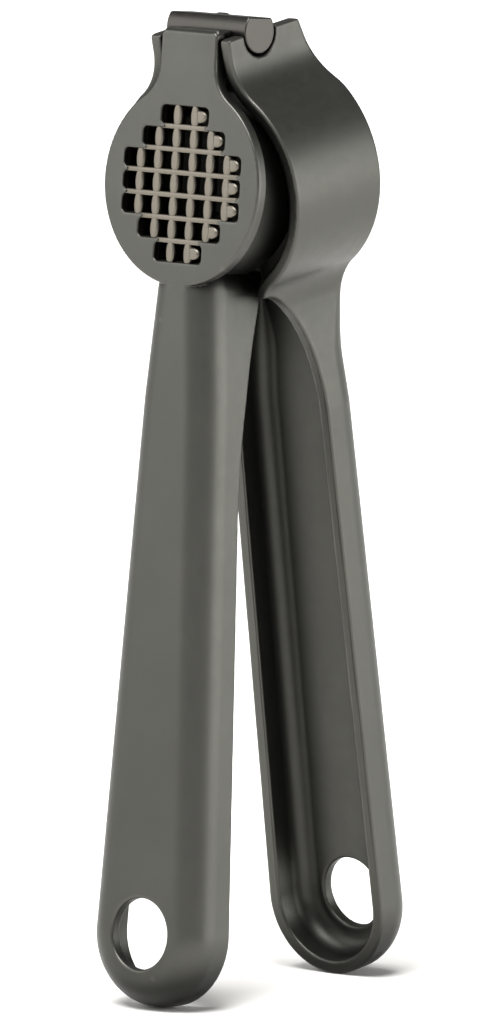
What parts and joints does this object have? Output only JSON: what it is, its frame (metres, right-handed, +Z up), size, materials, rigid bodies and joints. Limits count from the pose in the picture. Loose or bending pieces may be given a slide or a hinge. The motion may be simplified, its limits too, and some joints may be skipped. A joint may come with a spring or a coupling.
{
  "type": "garlic press",
  "caption": "Hand press for garlic: two channelled arms hinged at the top on a hooked bar, a sieve cup with rows of square holes, and a plunger that swings into it.",
  "frame": {"origin": "centre of the bounding box's base, on the floor midway between the tips of the two handles", "axes": "+Z up from the handle tips to the hinge, +X along the hinge bar, -Y the side that the sieve faces"},
  "size_m": [0.0434, 0.0635, 0.1799],
  "materials": {
    "casting": "satin dark grey coating on a zinc casting",
    "steel": "satin stainless steel",
    "bar": "satin grey"
  },
  "bodies": {
    "front_arm": {"front_handle": "casting", "front_face_plate": "casting", "front_cup_wall": "casting", "front_hinge_lug": "casting", "sieve_insert": "steel", "hinge_bar": "bar"},
    "rear_arm": {"rear_handle": "casting", "rear_skirt": "casting", "left_plunger_lug": "casting", "right_plunger_lug": "casting", "plunger_pin": "steel"},
    "plunger": {"plunger": "casting"}
  },
  "joints": [
    {"name": "arm_hinge", "type": "hinge", "parent": "front_arm", "child": "rear_arm", "pos_m": [0, -0.00626, 0.17705], "axis": [1, 0, 0], "range_deg": [-13.1, 76.9]},
    {"name": "plunger_rock", "type": "hinge", "parent": "rear_arm", "child": "plunger", "pos_m": [0, 0.00175, 0.14955], "axis": [1, 0, 0], "range_deg": [-2, 2]}
  ]
}
